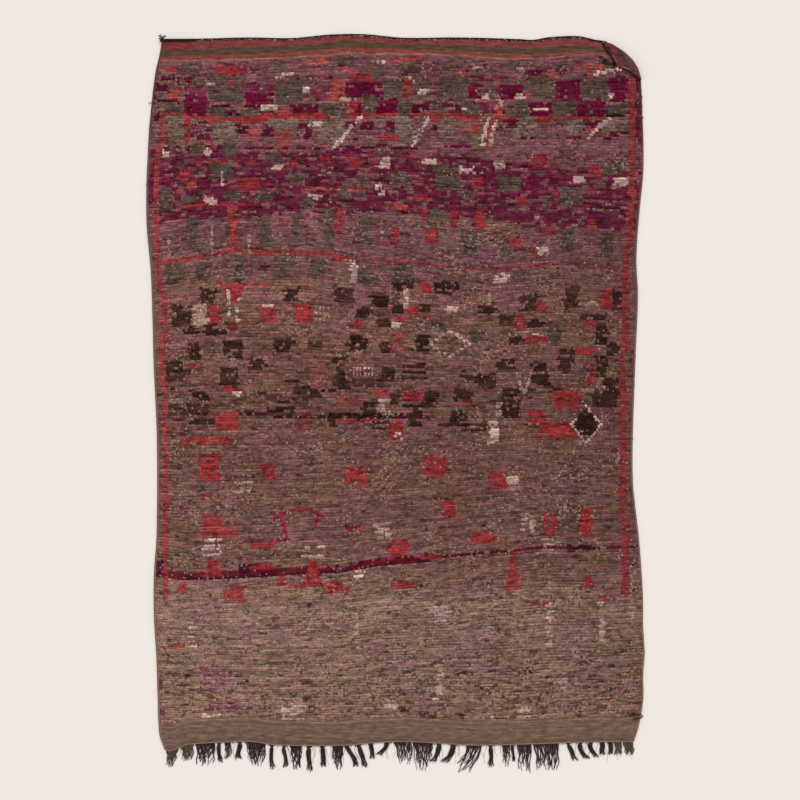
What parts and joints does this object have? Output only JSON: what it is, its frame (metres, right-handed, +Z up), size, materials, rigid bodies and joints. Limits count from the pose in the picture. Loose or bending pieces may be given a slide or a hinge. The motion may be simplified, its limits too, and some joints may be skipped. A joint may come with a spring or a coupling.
{
  "type": "hand-knotted wool rug",
  "caption": "Flat-lying hand-knotted wool rug with one folded-over top corner, a corded top end and loose dark fringe along the bottom end.",
  "frame": {"origin": "on the underside, in the middle of the cloth", "axes": "+X across the rug to the right, +Y along it from the fringed end to the corded end, +Z up from the floor"},
  "size_m": [1.8501, 2.7448, 0.0221],
  "materials": {
    "knotted_wool": "short uneven wool pile in mauve-brown, aubergine, red, olive and cream, matt with a soft sheen",
    "dark_yarn": "near-black plaited and plied wool and goat hair, matt",
    "fringe_yarn": "near-black to aubergine plied wool warp ends, matt, frayed",
    "pale_yarn": "undyed cream wool, fluffy"
  },
  "bodies": {
    "root": {"rug": "knotted_wool", "end_cord": "dark_yarn", "fringe": "fringe_yarn", "corner_tassel": "dark_yarn", "tip_tuft": "pale_yarn", "edge_loop": "dark_yarn"}
  },
  "joints": []
}
